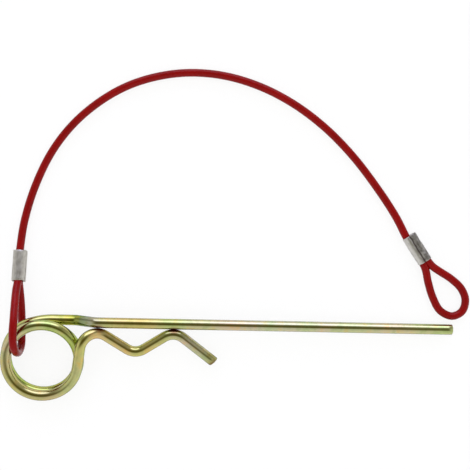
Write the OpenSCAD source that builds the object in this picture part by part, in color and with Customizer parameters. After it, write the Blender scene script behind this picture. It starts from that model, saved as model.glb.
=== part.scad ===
// Double-coil R-clip (spring cotter pin) with a coated wire-rope lanyard.
// One bent spring wire lies on a flat surface; the lanyard's end loop is threaded round both coil turns.
// X runs along the straight leg towards its tip, Z is up, and z = 0 is the surface.

/* [Pin wire] */
// Diameter of the spring wire
wire_d = 4; // [3:0.1:5]
// Mean radius of the coil's first turn at its far side
coil_r = 14; // [12:0.1:18]
// Mean radius of the rest of the coil
coil_link_r = 13.55; // [12:0.05:18]
// Gap between one coil turn and the next
turn_gap = 0.2; // [0.1:0.05:1]
// How much thicker the wire is where it is bent
bend_swell = 0.02; // [0.01:0.01:0.1]
// Straight stretch between two bends that follow each other
bend_link = 0.2; // [0.15:0.05:0.5]

/* [Straight leg] */
// Length of the straight leg from its cut tip to the joggle
leg_len = 135; // [90:0.5:200]
// Straight stretch between the joggle and the lead-in bend
leg_root = 7.1; // [6:0.1:16]
// Height that the joggle lifts the leg off the lower turn
joggle_rise = 4.1; // [3:0.1:6]
// Sideways shift of the leg at the joggle
joggle_shift = 0.35; // [0:0.05:2]
// Slope of the joggle
joggle_angle = 28; // [25:1:45]
// Bend radius of the joggle
joggle_r = 5; // [4:0.1:6]
// Radius of the gentle bend that leads into the coil
lead_r = 28; // [20:0.5:40]
// Angle of that gentle bend
lead_angle = 18; // [8:1:26]

/* [Wavy leg] */
// Straight stretch between the coil and the first hump
wave_root = 7.9; // [5:0.1:10]
// Lean of that stretch towards the leg's tip
root_lean = 8; // [0:0.5:12]
// Bend radius of the first hump
hump_r = 5.7; // [4.5:0.1:7]
// Bend radius of the belly between the humps
belly_r = 5.8; // [4.5:0.1:7]
// Bend radius of the second hump
crest_r = 6.2; // [4.5:0.1:7.5]
// Lean of the first hump, which drops the wave into the leg's plane
hump_lean = 31; // [20:1:36]
// Slope down from the first hump
fall_angle = 32; // [25:1:40]
// Slope up from the belly
climb_angle = 33; // [20:1:40]
// Slope of the lead-in tail
tail_angle = 38; // [25:1:45]
// Straight stretch from the first hump to the belly
fall_len = 9.6; // [6:0.1:16]
// Straight stretch from the belly to the second hump
climb_len = 9.3; // [5:0.1:14]
// Length of the lead-in tail
tail_len = 15; // [8:0.1:25]

/* [Rest pose] */
// Roll of the pin as it lies over the lanyard's lower strand
rest_roll = 11.5; // [0:0.1:15]
// Dip of the straight leg towards its tip
rest_dip = 2.83; // [0:0.01:5]

/* [Lanyard] */
// Diameter of the coated cord
cord_d = 3; // [2.5:0.1:3.2]
// Diameter that the cord is squeezed to inside a ferrule
squeezed_d = 1.96; // [1.6:0.02:2.2]
// Radial clearance between the squeezed cord and its bore
bore_clearance = 0.02; // [0.01:0.01:0.1]
// Wall left between the two bores of a ferrule
bore_web = 0.1; // [0.05:0.05:0.4]
// Width of a pressed ferrule across its creased faces
ferrule_w = 5; // [4.8:0.1:7]
// Width of a pressed ferrule from strand to strand
ferrule_span = 5.6; // [5:0.1:7]
// Length of a pressed ferrule
ferrule_len = 11.5; // [8:0.5:16]
// Diameter across the ferrule's rounded corners
ferrule_corner_d = 6.3; // [5.4:0.1:7]
// Width of the crease pressed in between the two strands
crease_w = 0.9; // [0.4:0.1:1.4]

/* [Hidden] */
$fn = 48;

// The wire as a list of bends: [straight feed, bend radius, heading after the bend]
function level(angle) = [cos(angle), sin(angle), 0];
turn_rise = wire_d + turn_gap;
helix = asin(turn_rise / (4 * coil_r));
coil_down = [0, -cos(helix), sin(helix)];
coil_up = [0, cos(helix), sin(helix)];
coil_out = cos(root_lean) * coil_up + sin(root_lean) * [1, 0, 0];
joggle_offset = norm([joggle_shift, joggle_rise]);
joggle_feed = (joggle_offset - 2 * joggle_r * (1 - cos(joggle_angle))) / sin(joggle_angle);
joggle_side = [0, -joggle_shift, -joggle_rise] / joggle_offset;
joggle_dir = cos(joggle_angle) * [-1, 0, 0] + sin(joggle_angle) * joggle_side;
hump_top = [cos(hump_lean), 0, -sin(hump_lean)];

// The lead-in bend and the rest of the first quarter turn end where one bend of coil_r would
first_r = (coil_r - lead_r * (1 - cos(lead_angle))) / cos(lead_angle);
lead_dir = cos(lead_angle) * [-1, 0, 0] + sin(lead_angle) * coil_down;
lead_reach = lead_r * sin(lead_angle) + first_r * (1 - sin(lead_angle));
bends = [
    [leg_len, joggle_r, joggle_dir],
    [joggle_feed, joggle_r, [-1, 0, 0]],
    [leg_root, lead_r, lead_dir],
    [bend_link, first_r, coil_down],
    [bend_link, coil_r, [1, 0, 0]],
    [bend_link, coil_link_r, coil_up],
    [bend_link, coil_link_r, [-1, 0, 0]],
    [bend_link, coil_link_r, coil_down],
    [bend_link, coil_link_r, [1, 0, 0]],
    [bend_link, coil_link_r, coil_out],
    [wave_root, hump_r, hump_top],
    [bend_link, hump_r, level(-fall_angle)],
    [fall_len, belly_r, level(climb_angle)],
    [climb_len, crest_r, level(-tail_angle)]
];
coil_first = 2;
bend_lap = bend_link / 4;

// Geometry of one bend: its angle, axis and the way to its centre
function unit(v) = v / norm(v);
function turn(from, to) = atan2(norm(cross(from, to)), from * to);
function bend_axis(from, to) = unit(cross(from, to));
function inward(from, to) = cross(bend_axis(from, to), from);
function along(p, from, to, r, a) = p + r * (sin(a) * from + (1 - cos(a)) * inward(from, to));

// Where each feed starts and its heading, from the leg's tip to the tail
tip_heading = [-1, 0, 0];
function bent(p, h, b) = along(p + b[0] * h, h, b[2], b[1], turn(h, b[2]));
stations = [
    for (i = 0, p = [0, 0, 0], h = tip_heading; i <= len(bends);
         p = i < len(bends) ? bent(p, h, bends[i]) : p,
         h = i < len(bends) ? bends[i][2] : h,
         i = i + 1)
        [p, h]
];
tail = stations[len(bends)];
tail_end = tail[0] + tail_len * tail[1];

// The pin's own frame has the coil's axis at x = y = 0 and the straight leg at z = 0
coil_start = stations[coil_first][0] + leg_root * stations[coil_first][1];
pin_origin = [coil_start[0] - lead_reach + coil_r, coil_start[1] - coil_r, 0];

// The rest pose turns the pin, then lifts and centres its box over the origin
function rolled(p) = [
    p[0],
    p[1] * cos(rest_roll) - p[2] * sin(rest_roll),
    p[1] * sin(rest_roll) + p[2] * cos(rest_roll)
];
function dipped(p) = [
    p[0] * cos(rest_dip) + p[2] * sin(rest_dip),
    p[1],
    p[2] * cos(rest_dip) - p[0] * sin(rest_dip)
];
function posed(p) = dipped(rolled(p - pin_origin));
trace_step = 3;
trace = [
    for (i = [0 : len(bends) - 1])
        let (h = stations[i][1], p = stations[i][0] + bends[i][0] * h, g = bends[i][2])
            for (a = [0 : trace_step : turn(h, g)])
                posed(along(p, h, g, bends[i][1], a))
];
tip = posed(stations[0][0]);
tip_rim = wire_d / 2 * sin(rest_dip);
outline = concat(trace, [tip, posed(tail_end)]);
function span(axis) = [min([for (p = outline) p[axis]]), max([for (p = outline) p[axis]])];
bend_d = wire_d + bend_swell;
pin_lift = bend_d / 2 - span(2)[0];
pin_shift = [
    -(span(0)[0] - bend_d / 2 + tip[0] + tip_rim) / 2,
    -(span(1)[0] + span(1)[1]) / 2,
    pin_lift
];

// Ferrules: the middle of each one, its direction towards its loop, and the way from strand to strand
strand_gap = squeezed_d + 2 * bore_clearance + bore_web;
bore_d = squeezed_d + 2 * bore_clearance;
strand_over = 0.3;
strand_reach = ferrule_len / 2 + strand_over;
tail_back = 1;
coil_ferrule_at = [-80.1, 34.5, 3.9];
coil_ferrule_dir = unit([0, -12, 2.4]);
coil_ferrule_up = unit([0, 2.4, 12]);
free_ferrule_at = [71.8, 44.7, ferrule_w / 2];
free_ferrule_dir = unit([6.6, -9.9, 0]);
free_ferrule_up = [0, 0, 1];
free_ferrule_side = cross(free_ferrule_up, free_ferrule_dir);
function strand(at, dir, side, reach, hand) = at + reach * dir + hand * strand_gap / 2 * side;

// The cord's route: loop round the coil, free arc, free loop
lie = cord_d / 2;
coil_loop = [
    [-80, 25.5, 3],
    [-79.6, 19.8, 1.9],
    [-79.3, 14, lie],
    [-79.2, 8.6, lie],
    [-79.1, 4.5, 2],
    [-79.1, 2.3, 4.6],
    [-79.1, 1.8, 8.2],
    [-79.2, 2.8, 11.7],
    [-79.4, 5.3, 14.5],
    [-79.5, 9.9, 15.5],
    [-79.5, 14, 14.6],
    [-79.9, 19.8, 11.5],
    [-80.3, 25.7, 7.7]
];
arc = [
    [-79.1, 51.5, 1.9],
    [-75.4, 65, 1.55],
    [-69, 79, lie],
    [-60.1, 90.7, lie],
    [-48, 100.6, lie],
    [-35.8, 106.6, lie],
    [-20.4, 110, lie],
    [-5.1, 109.6, lie],
    [9.6, 105.8, lie],
    [23.1, 99.3, lie],
    [35.4, 90.5, lie],
    [46.3, 79.9, lie],
    [56.1, 67.7, 1.55],
    [63.6, 56.7, 1.8]
];
free_loop = [
    [75.55, 36.4, 1.9],
    [76.6, 32, lie],
    [78.5, 26.2, lie],
    [81.5, 21.1, lie],
    [86.1, 19.1, lie],
    [89.9, 21, lie],
    [91.1, 25.3, lie],
    [89.5, 29.6, lie],
    [85.6, 33.3, lie],
    [81.1, 36.1, lie],
    [78.15, 38, 1.9]
];

coil_tail = [
    strand(coil_ferrule_at, coil_ferrule_dir, coil_ferrule_up, tail_back - ferrule_len / 2, -1),
    strand(coil_ferrule_at, coil_ferrule_dir, coil_ferrule_up, strand_reach, -1)
];
coil_exit = [
    strand(coil_ferrule_at, coil_ferrule_dir, coil_ferrule_up, strand_reach, 1),
    strand(coil_ferrule_at, coil_ferrule_dir, coil_ferrule_up, -strand_reach, 1)
];
free_entry = [
    strand(free_ferrule_at, free_ferrule_dir, free_ferrule_side, -strand_reach, -1),
    strand(free_ferrule_at, free_ferrule_dir, free_ferrule_side, strand_reach, -1)
];
free_tail = [
    strand(free_ferrule_at, free_ferrule_dir, free_ferrule_side, strand_reach, 1),
    strand(free_ferrule_at, free_ferrule_dir, free_ferrule_side, tail_back - ferrule_len / 2, 1)
];

// The arc's points are joined by a smooth curve, with extra rings between them
arc_rings = 3;
arc_path = concat(coil_exit, arc, free_entry);
function curve(a, b, c, d, t) =
    b + (c - a) * t / 2
    + (2 * a - 5 * b + 4 * c - d) * t * t / 2
    + (3 * b - a - 3 * c + d) * t * t * t / 2;
smooth_arc = [
    for (i = [1 : len(arc_path) - 3], k = [0 : arc_rings - 1])
        curve(arc_path[i - 1], arc_path[i], arc_path[i + 1], arc_path[i + 2], k / arc_rings)
];
route = concat(
    coil_tail, coil_loop, [coil_exit[0]],
    smooth_arc,
    free_entry, free_loop, free_tail
);
arc_start = len(coil_tail) + len(coil_loop) + 1;
arc_end = arc_start + len(smooth_arc);
squeezed_rings = [
    0, 1, arc_start - 1, arc_start,
    arc_end, arc_end + 1, len(route) - 2, len(route) - 1
];
function ring_d(i) = len(search(i, squeezed_rings)) > 0 ? squeezed_d : cord_d;

// A tube of rings square to the route, carried along without twist
cord_sides = 8;
function heading(i) =
    i == 0 ? unit(route[1] - route[0]) :
    i == len(route) - 1 ? unit(route[i] - route[i - 1]) :
    unit(unit(route[i + 1] - route[i]) + unit(route[i] - route[i - 1]));
function carried(v, t) = unit(v - (v * t) * t);
sides = [
    for (i = 0, v = carried([1, 0, 0], heading(0)); i < len(route);
         i = i + 1, v = i < len(route) ? carried(v, heading(i)) : v)
        v
];
function ring(i) = [
    for (k = [0 : cord_sides - 1])
        let (a = 360 * k / cord_sides, w = cross(heading(i), sides[i]))
            route[i] + ring_d(i) / 2 * (cos(a) * sides[i] + sin(a) * w)
];
tube_points = [for (i = [0 : len(route) - 1]) each ring(i)];
last_ring = cord_sides * (len(route) - 1);
tube_faces = concat(
    [[for (k = [0 : cord_sides - 1]) k]],
    [
        for (i = [0 : len(route) - 2], k = [0 : cord_sides - 1])
            let (a = i * cord_sides, b = a + cord_sides, n = (k + 1) % cord_sides)
                [a + n, a + k, b + k, b + n]
    ],
    [[for (k = [cord_sides - 1 : -1 : 0]) last_ring + k]]
);

// Puts a shape's own axes on the given ones
module placed(at, x, y, z) {
    multmatrix([
        [x[0], y[0], z[0], at[0]],
        [x[1], y[1], z[1], at[1]],
        [x[2], y[2], z[2], at[2]],
        [0, 0, 0, 1]
    ])
        children();
}

// A straight stretch of wire, let a little way into the bend at each end
module feed(at, dir, length, start_lap, end_lap) {
    across = unit(cross([0, 0, 1], dir));
    placed(at - start_lap * dir, across, cross(dir, across), dir)
        cylinder(d = wire_d, h = start_lap + length + end_lap);
}

// One bend of the wire
module bend(at, from, to, r) {
    centre = at + r * inward(from, to);
    placed(centre, -inward(from, to), from, bend_axis(from, to))
        rotate_extrude(angle = turn(from, to))
            translate([r, 0])
                circle(d = bend_d);
}

// The whole bent wire, from the leg's tip to the lead-in tail
module wire() {
    for (i = [0 : len(bends) - 1]) {
        start = stations[i][0];
        dir = stations[i][1];
        feed(start, dir, bends[i][0], i == 0 ? 0 : bend_lap, bend_lap);
        bend(start + bends[i][0] * dir, dir, bends[i][2], bends[i][1]);
    }
    feed(tail[0], tail[1], tail_len, bend_lap, 0);
}

// The R-clip as it lies
module pin() {
    color([0.72, 0.7, 0.42])
        translate(pin_shift)
            rotate([0, rest_dip, 0])
                rotate([rest_roll, 0, 0])
                    translate(-pin_origin)
                        wire();
}

// A pressed ferrule along Z, its strands apart along X
module ferrule() {
    difference() {
        linear_extrude(ferrule_len, center = true)
            intersection() {
                square([ferrule_span, ferrule_w], center = true);
                circle(d = ferrule_corner_d);
            }
        for (hand = [-1, 1]) {
            translate([hand * strand_gap / 2, 0, -ferrule_len])
                cylinder(d = bore_d, h = 2 * ferrule_len);
            translate([0, hand * ferrule_w / 2, 0])
                rotate([0, 0, 45])
                    cube([crease_w / sqrt(2), crease_w / sqrt(2), 2 * ferrule_len], center = true);
        }
    }
}

module coil_ferrule() {
    color("silver")
        placed(
            coil_ferrule_at, coil_ferrule_up,
            cross(coil_ferrule_dir, coil_ferrule_up), coil_ferrule_dir
        )
            ferrule();
}

module free_ferrule() {
    color("silver")
        placed(
            free_ferrule_at, free_ferrule_side,
            cross(free_ferrule_dir, free_ferrule_side), free_ferrule_dir
        )
            ferrule();
}

module lanyard_cord() {
    color([0.55, 0.1, 0.09])
        polyhedron(points = tube_points, faces = tube_faces, convexity = 8);
}

pin();
lanyard_cord();
coil_ferrule();
free_ferrule();
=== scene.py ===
import math

import bpy
import numpy as np
from mathutils import Matrix, Vector, noise


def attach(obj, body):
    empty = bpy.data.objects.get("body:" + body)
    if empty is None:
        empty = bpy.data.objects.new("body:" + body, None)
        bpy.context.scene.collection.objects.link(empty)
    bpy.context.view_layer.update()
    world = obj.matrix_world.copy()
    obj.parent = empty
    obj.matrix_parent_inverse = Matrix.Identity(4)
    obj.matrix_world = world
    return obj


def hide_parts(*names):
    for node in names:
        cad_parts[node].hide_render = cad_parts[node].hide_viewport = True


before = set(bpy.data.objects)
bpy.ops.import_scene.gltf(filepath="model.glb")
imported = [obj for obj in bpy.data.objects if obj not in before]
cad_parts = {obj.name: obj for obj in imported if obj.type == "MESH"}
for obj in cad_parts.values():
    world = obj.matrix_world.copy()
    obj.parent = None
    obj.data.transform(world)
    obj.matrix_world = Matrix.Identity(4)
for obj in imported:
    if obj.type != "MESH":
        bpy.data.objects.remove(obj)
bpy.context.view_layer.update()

MM = 0.001


def unit(v):
    v = np.asarray(v, float)
    return v / np.linalg.norm(v)


# Camera: straight above the part, as in the photograph
CAMERA_AT = (1.93, 48.27, 370.0)
CAMERA_TURN_DEG = 1.38
FOCAL_PX = 958.0
FRAME_PX = 470.0
camera_data = bpy.data.cameras.new("camera")
camera_data.sensor_width = 36.0
camera_data.lens = FOCAL_PX / FRAME_PX * camera_data.sensor_width
camera_data.clip_start = 0.01
camera_data.clip_end = 50.0
camera = bpy.data.objects.new("camera", camera_data)
camera.location = [x * MM for x in CAMERA_AT]
camera.rotation_euler = (0, 0, math.radians(CAMERA_TURN_DEG))
bpy.context.scene.collection.objects.link(camera)
bpy.context.scene.camera = camera


# Mesh helpers
END_RINGS = 3


def new_object(name, points, faces, material):
    mesh = bpy.data.meshes.new(name)
    mesh.from_pydata([tuple(p) for p in points], [], faces)
    mesh.update()
    obj = bpy.data.objects.new(name, mesh)
    bpy.context.scene.collection.objects.link(obj)
    mesh.materials.append(material)
    mesh.polygons.foreach_set("use_smooth", [True] * len(mesh.polygons))
    return obj


def skin(name, points, count, along, material, clockwise=False):
    """A closed skin over rings of so many points each, with a UV map of (turn, metres along)."""
    order = (0, 3, 2, 1) if clockwise else (0, 1, 2, 3)
    faces, uvs = [], []
    for i in range(len(along) - 1):
        for k in range(count):
            n = (k + 1) % count
            face = [i * count + k, i * count + n, (i + 1) * count + n, (i + 1) * count + k]
            u0, u1 = k / count, (k + 1) / count
            spots = [(u0, along[i]), (u1, along[i]), (u1, along[i + 1]), (u0, along[i + 1])]
            faces.append([face[c] for c in order])
            uvs += [spots[c] for c in order]
    first = list(range(count))
    last = [(len(along) - 1) * count + k for k in first]
    faces += [first, last[::-1]] if clockwise else [first[::-1], last]
    for v in (along[0], along[-1]):
        uvs += [(k / count, v) for k in range(count)]
    obj = new_object(name, points, faces, material)
    layer = obj.data.uv_layers.new(name="along")
    layer.data.foreach_set("uv", [x for uv in uvs for x in uv])
    return obj


def carried_frames(path):
    """Headings and two side vectors at each point of a path, carried along without twist."""
    step = np.diff(path, axis=0)
    step /= np.linalg.norm(step, axis=1)[:, None]
    heading = np.vstack([step[:1], step[:-1] + step[1:], step[-1:]])
    heading /= np.linalg.norm(heading, axis=1)[:, None]
    first = np.array([0, 0, 1.0]) if abs(heading[0][2]) < 0.9 else np.array([1.0, 0, 0])
    sides = []
    for h in heading:
        first = unit(first - (first @ h) * h)
        sides.append(first)
    sides = np.array(sides)
    return heading, sides, np.cross(heading, sides)


def tube(name, path, radii, count, material, end_slant=None):
    """A closed tube along a path; end_slant tilts the cut at its far end."""
    heading, up, side = carried_frames(path)
    angles = 2 * np.pi * np.arange(count) / count
    along = np.concatenate([[0], np.cumsum(np.linalg.norm(np.diff(path, axis=0), axis=1))])
    points = []
    for i, p in enumerate(path):
        for a in angles:
            out = radii[i] * (math.cos(a) * up[i] + math.sin(a) * side[i])
            if end_slant is not None and i >= len(path) - END_RINGS:
                out = out + (out @ end_slant) * heading[i]
            points.append(p + out)
    return skin(name, points, count, along, material)


# Node helpers
class Nodes:
    """A material or world tree, with short calls to add and join nodes."""

    def __init__(self, owner):
        owner.use_nodes = True
        self.tree = owner.node_tree
        self.tree.nodes.clear()

    def add(self, kind, values=None, **settings):
        node = self.tree.nodes.new(kind)
        for key, value in settings.items():
            setattr(node, key, value)
        for key, value in (values or {}).items():
            self.put(node.inputs[key], value)
        return node

    def put(self, socket, value):
        if isinstance(value, bpy.types.NodeSocket):
            self.tree.links.new(value, socket)
        else:
            socket.default_value = value

    def ramp(self, factor, stops):
        node = self.add("ShaderNodeValToRGB", {"Fac": factor})
        ramp = node.color_ramp
        while len(ramp.elements) < len(stops):
            ramp.elements.new(0.5)
        for element, (place, colour) in zip(ramp.elements, stops):
            element.position = place
            element.color = (*colour, 1)
        return node.outputs["Color"]

    def between(self, factor, low, high, start=0.3, end=0.7):
        """A plain number that runs from low to high as the factor runs from start to end."""
        return self.ramp(factor, [(start, (low,) * 3), (end, (high,) * 3)])

    def maths(self, operation, a, b=0.0):
        node = self.add("ShaderNodeMath", operation=operation)
        self.put(node.inputs[0], a)
        self.put(node.inputs[1], b)
        return node.outputs[0]

    def blend(self, factor, a, b, how="MIX"):
        node = self.add("ShaderNodeMix", data_type="RGBA", blend_type=how)
        self.put(node.inputs["Factor"], factor)
        for name, value in (("A", a), ("B", b)):
            socket = next(s for s in node.inputs if s.name == name and s.type == "RGBA")
            self.put(socket, value if isinstance(value, bpy.types.NodeSocket) else (*value, 1))
        return next(s for s in node.outputs if s.type == "RGBA")

    def grain(self, vector, scale, detail=3.0, roughness=0.5):
        node = self.add(
            "ShaderNodeTexNoise",
            {"Vector": vector, "Scale": scale, "Detail": detail, "Roughness": roughness},
        )
        return node.outputs["Fac"]

    def step(self, value, start, end):
        """A soft step from 0 at start to 1 at end."""
        node = self.add(
            "ShaderNodeMapRange", {"Value": value, "From Min": start, "From Max": end},
            interpolation_type="SMOOTHSTEP",
        )
        return node.outputs[0]

    def scaled(self, vector, scale):
        node = self.add("ShaderNodeMapping", {"Vector": vector, "Scale": scale})
        return node.outputs["Vector"]

    def surface(self, shader, kind="ShaderNodeOutputMaterial"):
        """Make the shader what the tree shows."""
        self.put(self.add(kind).inputs["Surface"], shader.outputs[0])


# Painted contact shade: dark red-brown spots where the humps meet the leg, in millimetres
WIRE_CONTACTS = [(-48.6, 11.9, 8.4), (-20.3, 11.9, 6.6)]
CONTACT_SHADE_EDGE = 3.4
CONTACT_SHADE_CORE = 1.0
CONTACT_SHADE_COLOUR = (0.24, 0.075, 0.030)
# How far the film's tints stray along the wire, in metres
FILM_WANDER = 0.012
# Film tints along the wire, as shares of its length from the leg's tip, with painted shade and painted
# reflection at the joggle
WIRE_FILM_AND_SHADE = [
    (0.00, (1.04, 1.04, 1.05)),
    (0.09, (1.10, 0.99, 1.32)),
    (0.20, (1.02, 1.02, 1.36)),
    (0.28, (1.01, 1.00, 1.00)),
    (0.315, (1.02, 0.94, 0.62)),
    (0.341, (1.02, 0.90, 0.72)),
    (0.355, (0.96, 0.92, 0.84)),
    # Painted shade and painted grey-blue reflection at the joggle, where the wire bends up to the leg:
    # darker grey-blue, then dark green stops
    (0.365, (0.74, 0.77, 1.05)),
    (0.373, (0.56, 0.64, 0.78)),
    (0.380, (0.40, 0.55, 0.24)),
    (0.389, (0.84, 0.80, 0.26)),
    (0.403, (1.02, 0.92, 0.66)),
    (0.418, (1.03, 0.98, 0.77)),
    (0.46, (1.00, 0.99, 0.74)),
    (0.50, (0.92, 1.00, 0.62)),
    (0.56, (0.80, 0.94, 0.46)),
    (0.60, (0.78, 0.94, 0.42)),
    (0.645, (0.97, 1.00, 0.86)),
    (0.69, (0.98, 0.98, 1.10)),
    (0.73, (1.05, 0.93, 0.76)),
    (0.765, (1.00, 0.86, 0.84)),
    (0.812, (0.90, 1.03, 0.86)),
    (0.835, (1.03, 1.03, 0.70)),
    (0.862, (1.08, 0.91, 0.76)),
    (0.885, (1.05, 0.95, 0.85)),
    (0.91, (1.05, 0.97, 0.70)),
    (0.932, (1.02, 0.98, 0.74)),
    (0.95, (0.98, 0.93, 0.98)),
    (0.970, (1.02, 0.91, 1.32)),
    (0.988, (0.98, 0.90, 1.12)),
    (0.995, (0.84, 0.74, 0.66)),
    (1.00, (0.46, 0.34, 0.28)),
]


def plated_wire(length):
    """Bright zinc with a yellow passivated film: khaki, with green and rose tints and drawing lines, and
    painted shade at the joggle and where the humps meet the leg.
    """
    material = bpy.data.materials.new("plated_wire")
    n = Nodes(material)
    coords = n.add("ShaderNodeTexCoord")
    place = coords.outputs["Object"]
    lines = n.scaled(coords.outputs["UV"], (26.0, 90.0, 1.0))
    cloud = n.grain(place, 95.0, 2.0)
    patch = n.grain(place, 320.0, 3.0, 0.6)
    tint = n.ramp(cloud, [
        (0.32, (0.48, 0.55, 0.225)),
        (0.50, (0.545, 0.54, 0.265)),
        (0.68, (0.60, 0.505, 0.28)),
    ])
    along = n.add("ShaderNodeSeparateXYZ", {"Vector": coords.outputs["UV"]}).outputs[1]
    wander = n.maths("MULTIPLY", n.maths("SUBTRACT", patch, 0.5), FILM_WANDER)
    share = n.maths("DIVIDE", n.maths("ADD", along, wander), length)
    film_and_shade = n.ramp(share, WIRE_FILM_AND_SHADE)
    tint = n.blend(1.0, tint, film_and_shade, "MULTIPLY")
    mottle = n.ramp(patch, [
        (0.35, (0.84, 0.89, 0.80)),
        (0.53, (1.00, 1.00, 1.00)),
        (0.68, (1.10, 0.93, 0.74)),
    ])
    colour = n.blend(1.0, tint, mottle, "MULTIPLY")
    # Painted shade where each hump meets the leg: a dark red-brown spot blended over the film
    for at in WIRE_CONTACTS:
        apart = n.add("ShaderNodeVectorMath", {0: place, 1: [v * MM for v in at]}, operation="DISTANCE")
        contact_shade = n.step(apart.outputs["Value"], CONTACT_SHADE_EDGE * MM, CONTACT_SHADE_CORE * MM)
        colour = n.blend(contact_shade, colour, CONTACT_SHADE_COLOUR)
    drawn = n.grain(lines, 1.0, 3.0, 0.6)
    rough = n.between(drawn, 0.10, 0.17)
    bump = n.add("ShaderNodeBump", {"Strength": 0.06, "Distance": 0.0001, "Height": drawn})
    shader = n.add("ShaderNodeBsdfPrincipled", {
        "Base Color": colour,
        "Metallic": 1.0,
        "Roughness": rough,
        "Specular Tint": (0.45, 0.48, 0.57, 1.0),
        "Normal": bump.outputs["Normal"],
    })
    n.surface(shader)
    return material


def red_coating():
    """Dark red PVC over a wire rope, with a faint lay, scuffs and a soft gloss."""
    material = bpy.data.materials.new("red_coating")
    n = Nodes(material)
    coords = n.add("ShaderNodeTexCoord")
    place = coords.outputs["Object"]
    cloud = n.grain(place, 140.0, 3.0, 0.6)
    colour = n.ramp(cloud, [
        (0.30, (0.196, 0.0015, 0.0017)),
        (0.55, (0.232, 0.0020, 0.0020)),
        (0.75, (0.262, 0.0032, 0.0030)),
    ])
    lay = n.add("ShaderNodeTexWave", {
        "Vector": n.scaled(coords.outputs["UV"], (6.0, 500.0, 1.0)),
        "Scale": 0.5,
        "Distortion": 0.4,
        "Detail": 1.0,
    }, wave_type="BANDS", bands_direction="DIAGONAL")
    skin = n.grain(place, 1800.0, 2.0, 0.6)
    height = n.maths("ADD", n.maths("MULTIPLY", lay.outputs["Fac"], 0.35), skin)
    bump = n.add("ShaderNodeBump", {"Strength": 0.12, "Distance": 0.0001, "Height": height})
    rough = n.between(n.grain(place, 420.0, 3.0, 0.6), 0.20, 0.30)
    shader = n.add("ShaderNodeBsdfPrincipled", {
        "Base Color": colour,
        "Metallic": 0.0,
        "Roughness": rough,
        "Specular IOR Level": 0.14,
        "Normal": bump.outputs["Normal"],
    })
    n.surface(shader)
    return material


# Where the two creases lie round a ferrule, in turns
CREASE_TURNS = (0.25, 0.75)
# Colour of the painted shade along the creases
CREASE_SHADE = (0.155, 0.132, 0.12)
STAIN = (0.17, 0.155, 0.145)


def pressed_aluminium(name, dark, light, stained):
    """Soft pressed aluminium: warm grey, die lines, small dents, painted shade along the creases and one
    stained lobe.
    """
    material = bpy.data.materials.new(name)
    n = Nodes(material)
    coords = n.add("ShaderNodeTexCoord")
    place = coords.outputs["Object"]
    lines = n.grain(n.scaled(coords.outputs["UV"], (40.0, 160.0, 1.0)), 1.0, 3.0, 0.6)
    mottle = n.grain(place, 700.0, 3.0, 0.65)
    mixed = n.maths("ADD", n.maths("MULTIPLY", lines, 0.5), n.maths("MULTIPLY", mottle, 0.5))
    colour = n.ramp(mixed, [(0.36, dark), (0.64, light)])
    turn = n.add("ShaderNodeSeparateXYZ", {"Vector": coords.outputs["UV"]}).outputs[0]
    turn = n.maths("ADD", turn, n.maths("MULTIPLY", n.maths("SUBTRACT", mottle, 0.5), 0.03))
    sway = n.maths("MULTIPLY", n.maths("SUBTRACT", n.grain(place, 260.0, 1.0), 0.32), 0.10)
    swayed = n.maths("ADD", turn, sway)
    half = n.maths("MULTIPLY", n.step(swayed, 0.23, 0.27), n.step(turn, 0.55, 0.45))
    smear = n.maths("MULTIPLY", half, n.between(mottle, 1.0, 0.45, 0.40, 0.62))
    colour = n.blend(n.maths("MULTIPLY", smear, stained), colour, STAIN)
    # Painted shade darkens a narrow band along each crease
    for crease in CREASE_TURNS:
        off = n.maths("ABSOLUTE", n.maths("SUBTRACT", swayed, crease))
        colour = n.blend(n.step(off, 0.038, 0.005), colour, CREASE_SHADE)
    bump = n.add("ShaderNodeBump", {"Strength": 0.25, "Distance": 0.0001, "Height": mixed})
    rough = n.between(mottle, 0.40, 0.56)
    shader = n.add("ShaderNodeBsdfPrincipled", {
        "Base Color": colour,
        "Metallic": 1.0,
        "Roughness": rough,
        "Specular Tint": (0.5, 0.5, 0.5, 1.0),
        "Normal": bump.outputs["Normal"],
    })
    n.surface(shader)
    return material


cord_material = red_coating()
coil_ferrule_material = pressed_aluminium(
    "pressed_aluminium", dark=(0.45, 0.43, 0.39), light=(0.70, 0.68, 0.63), stained=0.0,
)
free_ferrule_material = pressed_aluminium(
    "stained_aluminium", dark=(0.50, 0.485, 0.46), light=(0.78, 0.76, 0.73), stained=0.85,
)

# The lanyard's route in millimetres, end to end
CORD_D = 3.0
CORD_SIDES = 24
CORD_STEP = 0.8
LIE = CORD_D / 2
SQUEEZED_D = 1.96
SQUEEZE_TAPER = 1.2
FERRULE_LEN = 11.5
FERRULE_W = 5.0
FERRULE_SPAN = 5.6
STRAND_GAP = 2.1
TAIL_BACK = 1.0
STRAND_OUT = 0.3
STRAND_POINTS = 5
STRAND_REACH = FERRULE_LEN / 2 + STRAND_OUT
COIL_FERRULE = {
    "at": np.array([-80.1, 34.5, 3.9]),
    "dir": unit([0, -12, 2.4]),
    "side": unit([0, 2.4, 12]),
}
FREE_DIR = unit([6.6, -9.9, 0])
FREE_FERRULE = {
    "at": np.array([71.8, 44.7, FERRULE_W / 2]),
    "dir": FREE_DIR,
    "side": np.cross([0, 0, 1], FREE_DIR),
}
COIL_LOOP = [
    (-80, 25.5, 3), (-79.6, 19.8, 1.9), (-79.3, 14, LIE), (-79.2, 8.6, LIE), (-79.1, 4.5, 2),
    (-79.1, 2.3, 4.6), (-79.1, 1.8, 8.2), (-79.2, 2.8, 11.7), (-79.4, 5.3, 14.5), (-79.5, 9.9, 15.5),
    (-79.5, 14, 14.6), (-79.9, 19.8, 11.5), (-80.3, 25.7, 7.7),
]
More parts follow.
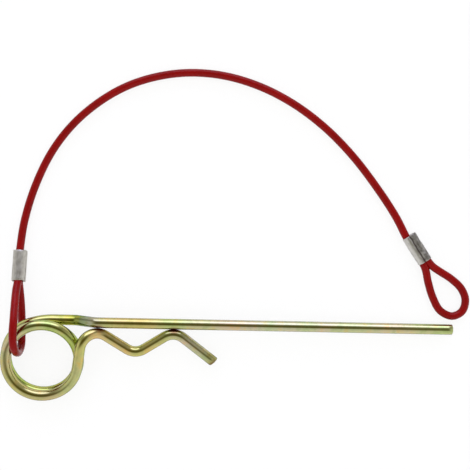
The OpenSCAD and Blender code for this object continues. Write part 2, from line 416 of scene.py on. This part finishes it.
ARC = [
    (-79.1, 51.5, 1.9), (-75.4, 65, 1.55), (-69, 79, LIE), (-60.1, 90.7, LIE), (-48, 100.6, LIE),
    (-35.8, 106.6, LIE), (-20.4, 110, LIE), (-5.1, 109.6, LIE), (9.6, 105.8, LIE), (23.1, 99.3, LIE),
    (35.4, 90.5, LIE), (46.3, 79.9, LIE), (56.1, 67.7, 1.55), (63.6, 56.7, 1.8),
]
FREE_LOOP = [
    (75.55, 36.4, 1.9), (76.6, 32, LIE), (78.5, 26.2, LIE), (81.5, 21.1, LIE), (86.1, 19.1, LIE),
    (89.9, 21, LIE), (91.1, 25.3, LIE), (89.5, 29.6, LIE), (85.6, 33.3, LIE), (81.1, 36.1, LIE),
    (78.15, 38, 1.9),
]


def strand(ferrule, reach, hand):
    """A point on one of a ferrule's two strands, so far along it from its middle."""
    return ferrule["at"] + reach * ferrule["dir"] + hand * STRAND_GAP / 2 * ferrule["side"]


def through(ferrule, start, end, hand):
    """Points of a strand that runs straight through a ferrule."""
    return [strand(ferrule, r, hand) for r in np.linspace(start, end, STRAND_POINTS)]


route = np.array(
    through(COIL_FERRULE, TAIL_BACK - FERRULE_LEN / 2, STRAND_REACH, -1)
    + [np.array(p, float) for p in COIL_LOOP]
    + through(COIL_FERRULE, STRAND_REACH, -STRAND_REACH, 1)
    + [np.array(p, float) for p in ARC]
    + through(FREE_FERRULE, -STRAND_REACH, STRAND_REACH, -1)
    + [np.array(p, float) for p in FREE_LOOP]
    + through(FREE_FERRULE, STRAND_REACH, TAIL_BACK - FERRULE_LEN / 2, 1)
)


def smooth_curve(points, step):
    """A centripetal curve through the points, with points about one step apart."""
    ends = np.vstack([2 * points[0] - points[1], points, 2 * points[-1] - points[-2]])
    out = []
    for a, b, c, d in zip(ends[:-3], ends[1:-2], ends[2:-1], ends[3:]):
        k0 = np.linalg.norm(b - a) ** 0.5
        k1 = np.linalg.norm(c - b) ** 0.5
        k2 = np.linalg.norm(d - c) ** 0.5
        m1 = k1 * ((b - a) / k0 - (c - a) / (k0 + k1) + (c - b) / k1)
        m2 = k1 * ((c - b) / k1 - (d - b) / (k1 + k2) + (d - c) / k2)
        count = max(2, int(round(np.linalg.norm(c - b) / step)))
        for t in np.arange(count) / count:
            h = (2 * t**3 - 3 * t**2 + 1, t**3 - 2 * t**2 + t, -2 * t**3 + 3 * t**2, t**3 - t**2)
            out.append(h[0] * b + h[1] * m1 + h[2] * c + h[3] * m2)
    return np.array(out + [points[-1]])


cord_path = smooth_curve(route, CORD_STEP)
cord_path[:, 2] = np.maximum(cord_path[:, 2], LIE)


def cord_radius(p):
    """Squeezed inside a ferrule, full outside it."""
    inside = max(
        FERRULE_LEN / 2 - abs((p - f["at"]) @ f["dir"])
        if np.linalg.norm(p - f["at"]) < FERRULE_LEN
        else -FERRULE_LEN
        for f in (COIL_FERRULE, FREE_FERRULE)
    )
    share = min(1.0, max(0.0, inside / SQUEEZE_TAPER))
    return (CORD_D + (SQUEEZED_D - CORD_D) * share) / 2


cord_radii = np.array([cord_radius(p) for p in cord_path])
cord = tube("red_cord", cord_path * MM, cord_radii * MM, CORD_SIDES, cord_material)
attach(cord, "lanyard")
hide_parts("lanyard_cord")


# Pressed ferrules: two lobes with a crease between the strands
CREST_AT = 0.65
CREASE_DEPTH = 0.5
CREASE_POWER = 1.6
LOBE_POWERS = (2.6, 2.3)
SECTION_POINTS = 48
BODY_RINGS = 25
BODY_MARGIN = 0.6
# End rings: depth below the end, size as a share of the section, shift as a share of the way to a strand
ENTRY_RINGS = [
    (1.6, 0.30, 1.0), (0.5, 0.42, 1.0), (0.12, 0.60, 1.0),
    (0.0, 0.80, 0.5), (0.02, 0.965, 0.0), (0.12, 0.993, 0.0),
]
LOOP_RINGS = [(0.12, 0.993), (0.02, 0.965), (0.0, 0.86), (0.15, 0.72), (0.6, 0.55), (1.6, 0.45)]
# Dents: noise scales across and along, its level where dents start, plain parts, and each lobe's share
DENT_ACROSS = 0.7
DENT_ALONG = 0.35
DENT_START = 0.1
DENT_FREE_END = 0.2
DENT_FREE_CORE = 0.5
DENT_HARD_LOBE = 1.6
DENT_SOFT_LOBE = 0.6
# How far from an end its raised ears begin
EAR_REACH = 2.0


def section():
    """The pressed outline in the ferrule's own plane: x from strand to strand, y across."""
    half, reach = FERRULE_W / 2, FERRULE_SPAN / 2
    top = []
    for x in -reach * np.cos(np.linspace(0, np.pi, SECTION_POINTS)):
        if abs(x) > CREST_AT:
            part = (abs(x) - CREST_AT) / (reach - CREST_AT)
            y = half * max(0.0, 1 - part ** LOBE_POWERS[0]) ** (1 / LOBE_POWERS[1])
        else:
            y = half - CREASE_DEPTH * (1 - abs(x) / CREST_AT) ** CREASE_POWER
        top.append((x, y))
    bottom = [(x, -y) for x, y in reversed(top[1:-1])]
    return np.array(top + bottom)


def ferrule(name, place, material, seed, dent, ear_len):
    """A lofted ferrule with a rolled lip at each end and a mouth where its strands go in."""
    outline = section()
    half = FERRULE_LEN / 2
    rings = []
    for depth, size, shift in ENTRY_RINGS:
        mouth = np.array([-shift * STRAND_GAP / 2, 0.0])
        rings.append((depth - half, mouth + (outline - mouth) * size))
    for z in np.linspace(BODY_MARGIN - half, half - BODY_MARGIN, BODY_RINGS):
        rings.append((z, outline))
    for depth, size in LOOP_RINGS:
        rings.append((half - depth, outline * size))
    x_axis, z_axis = place["side"], place["dir"]
    y_axis = np.cross(z_axis, x_axis)
    points = []
    for z, section_points in rings:
        for x, y in section_points:
            wave = 0.0
            if abs(z) < half - DENT_FREE_END:
                wave = noise.noise(Vector((x * DENT_ACROSS + seed, y * DENT_ACROSS, z * DENT_ALONG)))
            lobe = DENT_HARD_LOBE if x > 0 else DENT_SOFT_LOBE
            pressed = dent * lobe * min(0.0, wave - DENT_START)
            shrink = 1 + pressed / max(math.hypot(x, y), DENT_FREE_CORE)
            ear = ear_len * ((2 * abs(y) / FERRULE_W) ** 2 - 1 / 3)
            lift = math.copysign(ear, z) * max(0.0, (abs(z) - half + EAR_REACH) / EAR_REACH)
            points.append(place["at"] + shrink * (x * x_axis + y * y_axis) + (z + lift) * z_axis)
    along = [z * MM for z, _ in rings]
    return skin(name, np.array(points) * MM, len(outline), along, material, clockwise=True)


coil_ferrule = ferrule(
    "coil_ferrule_metal", COIL_FERRULE, coil_ferrule_material, seed=3.0, dent=0.05, ear_len=0.4,
)
free_ferrule = ferrule(
    "free_ferrule_metal", FREE_FERRULE, free_ferrule_material, seed=11.0, dent=0.16, ear_len=0.15,
)
for piece, node in ((coil_ferrule, "coil_ferrule"), (free_ferrule, "free_ferrule")):
    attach(piece, "lanyard")
    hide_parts(node)


# The spring wire: straight feeds and round bends, from the leg's tip to the lead-in tail
WIRE_D = 4.0
WIRE_SIDES = 40
STRAIGHT_STEP = 2.0
BEND_STEP = 0.55
COIL_R = 14.0
COIL_LINK_R = 13.55
TURN_RISE = 4.2
BEND_LINK = 0.2
LEG_LEN = 135.0
LEG_ROOT = 7.1
JOGGLE = np.array([0, -0.35, -4.1])
JOGGLE_R = 5.0
JOGGLE_DEG = 28
LEAD_R = 28.0
LEAD_DEG = 18
WAVE_ROOT = 7.9
ROOT_LEAN_DEG = 8
HUMP_R = 5.7
HUMP_LEAN_DEG = 31
FALL_LEN = 9.6
FALL_DEG = 32
BELLY_R = 5.8
CLIMB_LEN = 9.3
CLIMB_DEG = 33
CREST_R = 6.2
TAIL_LEN = 15.0
TAIL_DEG = 38
REST_ROLL_DEG = 11.5
REST_DIP_DEG = 2.83
LEG_TIP = np.array([86.1722, 13.9533, 2.01])


def turned(degrees, start, side):
    """The heading after a turn from one direction towards another at right angles to it."""
    return math.cos(math.radians(degrees)) * start + math.sin(math.radians(degrees)) * side


helix = math.asin(TURN_RISE / (4 * COIL_R))
DOWN = np.array([0, -math.cos(helix), math.sin(helix)])
UP = np.array([0, math.cos(helix), math.sin(helix)])
BACK = np.array([-1.0, 0, 0])
ON = np.array([1.0, 0, 0])
SIDE = np.array([0, 1.0, 0])
UNDER = np.array([0, 0, -1.0])
joggle_angle, lead_angle = math.radians(JOGGLE_DEG), math.radians(LEAD_DEG)
joggle_drop = np.linalg.norm(JOGGLE) - 2 * JOGGLE_R * (1 - math.cos(joggle_angle))
joggle_feed = joggle_drop / math.sin(joggle_angle)
first_r = (COIL_R - LEAD_R * (1 - math.cos(lead_angle))) / math.cos(lead_angle)
# Each bend: straight feed before it, its radius, and the heading after it
bends = [
    (LEG_LEN, JOGGLE_R, turned(JOGGLE_DEG, BACK, unit(JOGGLE))),
    (joggle_feed, JOGGLE_R, BACK),
    (LEG_ROOT, LEAD_R, turned(LEAD_DEG, BACK, DOWN)),
    (BEND_LINK, first_r, DOWN),
    (BEND_LINK, COIL_R, ON),
    (BEND_LINK, COIL_LINK_R, UP),
    (BEND_LINK, COIL_LINK_R, BACK),
    (BEND_LINK, COIL_LINK_R, DOWN),
    (BEND_LINK, COIL_LINK_R, ON),
    (BEND_LINK, COIL_LINK_R, turned(ROOT_LEAN_DEG, UP, ON)),
    (WAVE_ROOT, HUMP_R, turned(HUMP_LEAN_DEG, ON, UNDER)),
    (BEND_LINK, HUMP_R, turned(-FALL_DEG, ON, SIDE)),
    (FALL_LEN, BELLY_R, turned(CLIMB_DEG, ON, SIDE)),
    (CLIMB_LEN, CREST_R, turned(-TAIL_DEG, ON, SIDE)),
]


def wire_line():
    """Points of the wire's middle line in its own frame."""
    p, h = np.zeros(3), BACK
    line = [p]
    for feed, radius, to in bends:
        count = max(1, int(feed / STRAIGHT_STEP))
        line += [p + h * feed * (k + 1) / count for k in range(count)]
        p = p + h * feed
        axis = np.cross(h, to)
        turn = math.atan2(np.linalg.norm(axis), h @ to)
        inward = np.cross(unit(axis), h)
        count = max(6, int(radius * turn / BEND_STEP))
        for k in range(1, count + 1):
            a = turn * k / count
            line.append(p + radius * (math.sin(a) * h + (1 - math.cos(a)) * inward))
        p, h = line[-1], to
    count = int(TAIL_LEN / STRAIGHT_STEP)
    return np.array(line + [p + h * TAIL_LEN * (k + 1) / count for k in range(count)])


roll, dip = math.radians(REST_ROLL_DEG), math.radians(REST_DIP_DEG)
pose = np.array(Matrix.Rotation(dip, 3, "Y") @ Matrix.Rotation(roll, 3, "X"))
wire_path = wire_line() @ pose.T + LEG_TIP

# Cut ends with a softened edge: distance from the end, and radius as a share of the wire's
END_ROUND = [(0.0, 0.80), (0.10, 0.93), (0.28, 0.995)]
TAIL_SLANT = np.array([0.09, 0.11, 0])


def with_cut_ends(path):
    """The path and the radii, with close rings at both ends for a softened cut edge."""
    head = unit(path[1] - path[0])
    tail = unit(path[-1] - path[-2])
    start = [path[0] + head * z for z, _ in END_ROUND]
    end = [path[-1] - tail * z for z, _ in reversed(END_ROUND)]
    radii = [WIRE_D / 2 * k for _, k in END_ROUND]
    full = np.vstack([start, path[1:-1], end])
    return full, np.array(radii + [WIRE_D / 2] * (len(path) - 2) + radii[::-1])


wire_full, wire_radii = with_cut_ends(wire_path)
wire_length = float(np.linalg.norm(np.diff(wire_full, axis=0), axis=1).sum()) * MM
wire_material = plated_wire(wire_length)
wire = tube("spring_wire", wire_full * MM, wire_radii * MM, WIRE_SIDES, wire_material, TAIL_SLANT)
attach(wire, "pin")
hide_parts("pin")


# Stage: a pale floor, a soft tent of light and a lamp overhead, in metres
FLOOR_HALF = 0.7
FLOOR_DROP = 0.0001
FLOOR_CLEAR = 0.86


def floor_material():
    """Pale for the light, mostly clear to the eye: the white tent shows through a faint shadow."""
    material = bpy.data.materials.new("pale_floor")
    n = Nodes(material)
    shader = n.add("ShaderNodeBsdfPrincipled", {
        "Base Color": (0.98, 0.98, 0.98, 1.0),
        "Roughness": 0.9,
        "Specular IOR Level": 0.1,
    })
    clear = n.add("ShaderNodeBsdfTransparent", {"Color": (1.0, 1.0, 1.0, 1.0)})
    rays = n.add("ShaderNodeLightPath").outputs
    mirrored = n.maths("MAXIMUM", rays["Is Glossy Ray"], rays["Is Transmission Ray"])
    seen = n.maths("MAXIMUM", rays["Is Camera Ray"], mirrored)
    mix = n.add("ShaderNodeMixShader", {
        0: n.maths("MULTIPLY", seen, FLOOR_CLEAR),
        1: shader.outputs["BSDF"],
        2: clear.outputs["BSDF"],
    })
    n.surface(mix)
    return material


corners = [(x * FLOOR_HALF, y * FLOOR_HALF, 0) for x, y in ((-1, -1), (1, -1), (1, 1), (-1, 1))]
floor = new_object("floor", corners, [(0, 1, 2, 3)], floor_material())
floor.location.z = -FLOOR_DROP

SIDE_WALLS = (0.87, 0.87, 0.86)
FAR_WALL = (0.45, 0.44, 0.41)
WINDOW = (2.2, 2.25, 3.0)
HORIZON = (1.0, 1.0, 1.0)
OVERHEAD = (0.13, 0.115, 0.025)
OVERHEAD_HALF = (0.62, 0.49)


def soft_world():
    """Pale side walls, a dimmer far wall with a bright window, a white horizon and a dim patch overhead."""
    world = bpy.data.worlds.new("studio")
    bpy.context.scene.world = world
    n = Nodes(world)
    way = n.add("ShaderNodeSeparateXYZ", {"Vector": n.add("ShaderNodeTexCoord").outputs["Generated"]})
    x, y, z = way.outputs
    wide, deep = n.maths("ABSOLUTE", x), n.maths("ABSOLUTE", y)
    across = n.maths("POWER", n.maths("DIVIDE", wide, OVERHEAD_HALF[0]), 4.0)
    fore = n.maths("POWER", n.maths("DIVIDE", deep, OVERHEAD_HALF[1]), 4.0)
    dim = n.maths("POWER", math.e, n.maths("MULTIPLY", n.maths("ADD", across, fore), -1.0))
    dim = n.maths("MULTIPLY", dim, n.maths("GREATER_THAN", z, 0.0))
    window = n.maths("MULTIPLY", n.step(wide, 0.52, 0.36), n.step(y, 0.55, 0.80))
    walls = n.blend(n.step(y, 0.1, 0.55), SIDE_WALLS, FAR_WALL)
    walls = n.blend(window, walls, WINDOW)
    walls = n.blend(n.step(z, 0.22, 0.10), walls, HORIZON)
    walls = n.blend(dim, walls, OVERHEAD)
    tent = n.add("ShaderNodeBackground", {"Color": walls, "Strength": 1.0})
    n.surface(tent, "ShaderNodeOutputWorld")


soft_world()

LAMP_AT = (0, 0.05, 1.2)
LAMP_SIDE = 1.8
LAMP_WATTS = 10.0


def overhead_lamp():
    """A wide lamp that shines straight down and shows neither in reflections nor to the camera."""
    data = bpy.data.lights.new("overhead", "AREA")
    data.shape = "SQUARE"
    data.size = LAMP_SIDE
    data.energy = LAMP_WATTS
    lamp = bpy.data.objects.new("overhead", data)
    lamp.location = LAMP_AT
    lamp.visible_glossy = False
    lamp.visible_camera = False
    bpy.context.scene.collection.objects.link(lamp)


overhead_lamp()

bpy.context.scene.view_settings.view_transform = "Standard"
